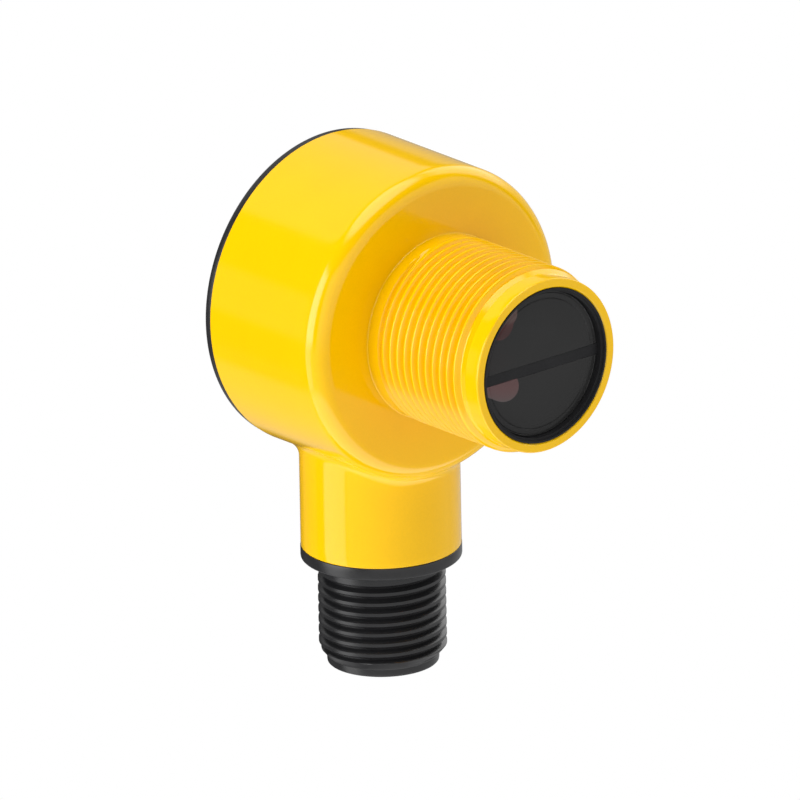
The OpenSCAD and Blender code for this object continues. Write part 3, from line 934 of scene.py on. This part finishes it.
emitter_lens_low, emitter_lens_high = mm_box("emitter_lens")
frame_r = lens_frame_high.x
frame_lip = 0.2
frame_face_y = nose_y + 0.3
frame_back_y = lens_frame_high.y
lens_y = emitter_lens_low.y
lens_back_y = lens_y + 0.88
lens_r = emitter_lens_high.x
lens_gap = 0.03
bulge_r = 9.0           # radius of a lens' back
optic_offset = 3.6      # from the barrel's axis to the middle of a lens' back
bar_top = emitter_lens_low.z - lens_gap
bar_bottom = mm_box("receiver_lens")[1].z + lens_gap


def lens_frame_piece():
    """The ring round the lenses, with the bar between them."""
    bore_r = lens_r + lens_gap
    lip_r = frame_r - frame_lip
    outline = rounded([(frame_r, nose_y, 0.04), (frame_r, frame_back_y), (bore_r, frame_back_y),
                       (bore_r, frame_face_y, 0.05), (lip_r, frame_face_y, 0.05), (lip_r, nose_y, 0.04)],
                      0.06, closed=True)
    shape = Shape()
    shape.lathe(outline, ring_angles(SEGMENTS), about_y, closed=True)
    piece = link("lens_frame_ring", shape.mesh("lens_frame_ring"))
    bar = Shape()
    end_r = lens_r + 2 * running_gap
    low, high = (math.degrees(math.asin(z / end_r)) for z in (bar_bottom, bar_top))
    ends = arc((0, 0), end_r, low, high, 6) + arc((0, 0), end_r, 180 - high, 180 - low, 6)
    bar.extrude(ends, lens_y, lens_back_y, lambda u, v, h: (u, h, v))
    cut(piece, [bar], "UNION")
    return piece


def lens_piece(node, side):
    """One half of the window: a plate with two fine rings, a soft rim, a bulged back and a straight edge."""
    low, high = mm_box(node)
    rim, fine = 0.1, 0.05
    rings = [(r + step * fine, lens_y + (0 if step else fine)) for r in (lens_r - 0.75, lens_r - 0.2)
             for step in (-1, 0, 1)]
    plate = Shape()
    plate.lathe([(0, lens_y)] + rings + arc((lens_r - rim, lens_y + rim), rim, -90, 0, 4) +
                [(lens_r, lens_back_y), (0, lens_back_y)], ring_angles(SEGMENTS), about_y)
    name = node + "_moulding"
    piece = link(name, plate.mesh(name))

    bulge = Shape()
    centre_y = high.y - bulge_r
    reach = math.degrees(math.acos((lens_back_y - 0.2 - centre_y) / bulge_r))
    outline = [(u, v) for v, u in arc((centre_y, 0), bulge_r, 0, reach, 12)]
    bulge.lathe(outline, ring_angles(96), lambda r, a, h: about_y(r, a, h, z=side * optic_offset))
    cut(piece, [bulge], "UNION")

    # what lies on the lens' side of its straight edge stays
    chord = low.z if side > 0 else high.z
    keep = Shape()
    wide = lens_r - 2 * FINE
    spread = math.degrees(math.asin(side * chord / wide))
    outline = [(u, side * v) for u, v in arc((0, 0), wide, spread, 180 - spread, 96)]
    keep.extrude(outline, lens_y - OVER, high.y + OVER, lambda u, v, h: (u, h, v))
    cut(piece, [keep], "INTERSECT")
    return piece


# ---------------------------------------------------------------- making the pieces

housing = link("housing_shell", housing_shape().mesh("housing_shell"))
cut(housing, housing_cutters())
connector = link("connector_shell_threaded", connector_shell_shape().mesh("connector_shell_threaded"))
cut(connector, [socket_cutter()])

stand_for("housing", "sensor", housing)
stand_for("connector_shell", "sensor", connector)
stand_for("rear_cover", "sensor", rear_cover_piece())
stand_for("gain_adjuster", "adjuster", adjuster_piece())
stand_for("lens_frame", "sensor", lens_frame_piece())
stand_for("emitter_lens", "sensor", lens_piece("emitter_lens", 1))
stand_for("receiver_lens", "sensor", lens_piece("receiver_lens", -1))
for side, pipe in ((-1, "power_light_pipe"), (1, "output_light_pipe")):
    stand_for(pipe, "sensor", link(pipe + "_rod", light_pipe_shape(side * pipe_x).mesh(pipe + "_rod")))


# ---------------------------------------------------------------- camera, floor and light

# The way the photograph looks at it, and the point in millimetres that its middle shows
VIEW_AZIMUTH, VIEW_ELEVATION, VIEW_ROLL = -40.655, 19.904, -1.069
VIEW_MIDDLE = Vector((-1.979, 3.515, -7.722))
VIEW_WIDTH = 74.07
VIEW_DISTANCE = 300


def add_camera():
    """A camera without perspective."""
    azimuth, elevation = math.radians(VIEW_AZIMUTH), math.radians(VIEW_ELEVATION)
    back = Vector((math.sin(azimuth) * math.cos(elevation), -math.cos(azimuth) * math.cos(elevation),
                   math.sin(elevation)))
    camera = bpy.data.objects.new("camera", bpy.data.cameras.new("camera"))
    bpy.context.scene.collection.objects.link(camera)
    camera.data.type = "ORTHO"
    camera.data.ortho_scale = VIEW_WIDTH * MM
    camera.data.clip_start, camera.data.clip_end = 0.01, 10
    camera.location = (VIEW_MIDDLE + back * VIEW_DISTANCE) * MM
    camera.rotation_mode = "QUATERNION"
    roll = Quaternion((0, 0, 1), math.radians(VIEW_ROLL))
    camera.rotation_quaternion = (-back).to_track_quat("-Z", "Y") @ roll
    bpy.context.scene.camera = camera


# Soft panels round the object, in degrees: the middle's azimuth and elevation, the width and height,
# how soft the edges are, and the radiance. Azimuth 0 is ahead of the barrel, and grows towards +X.
PANELS = {
    "key": (-105, 12, 42, 44, 4, 4.9),
    "key_foot": (-111, -24, 36, 28, 2, 1.9),
    "top": (0, 84, 360, 48, 6, 3.2),
    "rear_top": (172, 33, 72, 30, 1.5, 0.55),
    "right": (102, -14, 52, 40, 4, 0.5),
    "right_high": (100, 30, 50, 44, 6, 2.0),
    "front_fill": (0, 9, 120, 42, 6, 1.08),
    "front_low": (-8, -26, 166, 28, 4, 0.6),
    "rear_right": (139, -6, 26, 30, 3, 0.27),
    "rear_left": (-139, 0, 12, 22, 3, 0.27),
    "rear_low": (-165, -22, 40, 20, 3, 0.12),
    "below_front": (-30, -65, 200, 50, 4, 2.1),
    "below_rear": (150, -50, 160, 30, 3, 0.4),
}
BETWEEN = 0.05          # radiance between the panels
BACKDROP = 1.0          # what the camera sees behind the object


def add_studio():
    """A world of soft panels, which only light the object, in front of a plain white backdrop."""
    world = bpy.data.worlds.new("studio")
    world.use_nodes = True
    tree = world.node_tree
    background = tree.nodes["Background"]

    def math_node(operation, *values):
        node = tree.nodes.new("ShaderNodeMath")
        node.operation = operation
        for socket, value in zip(node.inputs, values):
            if isinstance(value, (int, float)):
                socket.default_value = value
            else:
                tree.links.new(value, socket)
        return node.outputs[0]

    def band(distance, width, soft, top):
        """The value top within half of a width, and 0 beyond it."""
        node = tree.nodes.new("ShaderNodeMapRange")
        node.interpolation_type = "SMOOTHSTEP"
        node.inputs["From Min"].default_value = width / 2 - soft
        node.inputs["From Max"].default_value = width / 2 + soft
        node.inputs["To Min"].default_value = top
        node.inputs["To Max"].default_value = 0.0
        tree.links.new(distance, node.inputs["Value"])
        return node.outputs["Result"]

    split = tree.nodes.new("ShaderNodeSeparateXYZ")
    place = tree.nodes.new("ShaderNodeTexCoord")
    tree.links.new(place.outputs["Generated"], split.inputs[0])
    x, y, z = split.outputs
    azimuth = math_node("DEGREES", math_node("ARCTAN2", x, math_node("MULTIPLY", y, -1.0)))
    elevation = math_node("DEGREES", math_node("ARCSINE", z))
    total = BETWEEN
    for azimuth_0, elevation_0, width, height, soft, radiance in PANELS.values():
        above = math_node("SUBTRACT", elevation, elevation_0)
        high = band(math_node("ABSOLUTE", above), height, soft, radiance)
        if width < 360:
            turned = math_node("WRAP", math_node("SUBTRACT", azimuth, azimuth_0), 180.0, -180.0)
            high = math_node("MULTIPLY", high, band(math_node("ABSOLUTE", turned), width, soft, 1.0))
        total = math_node("ADD", high, total)
    seen = tree.nodes.new("ShaderNodeLightPath").outputs["Is Camera Ray"]
    strength = tree.nodes.new("ShaderNodeMix")
    tree.links.new(seen, strength.inputs["Factor"])
    tree.links.new(total, strength.inputs["A"])
    strength.inputs["B"].default_value = BACKDROP
    tree.links.new(strength.outputs["Result"], background.inputs["Strength"])
    background.inputs["Color"].default_value = (1, 1, 1, 1)
    bpy.context.scene.world = world
    bpy.context.scene.view_settings.view_transform = "Standard"


def add_floor():
    """A plain pale disc well below the object, out of the way of the light that comes from below."""
    pale = surface("floor_pale", (0.85, 0.85, 0.84), 0.7, 8.0, 0.02, 0.05)
    floor_r, floor_low, floor_top = 230.0, -404.0, -400.0
    disc = Shape()
    disc.lathe([(0, floor_low), (floor_r, floor_low), (floor_r, floor_top), (0, floor_top)], ring_angles(96),
               lambda r, a, h: (r * math.sin(a), r * math.cos(a), h))
    floor = link("floor", disc.mesh("floor"))
    floor.data.materials.append(pale)
    floor.visible_diffuse = floor.visible_glossy = floor.visible_shadow = False


add_camera()
add_studio()
add_floor()
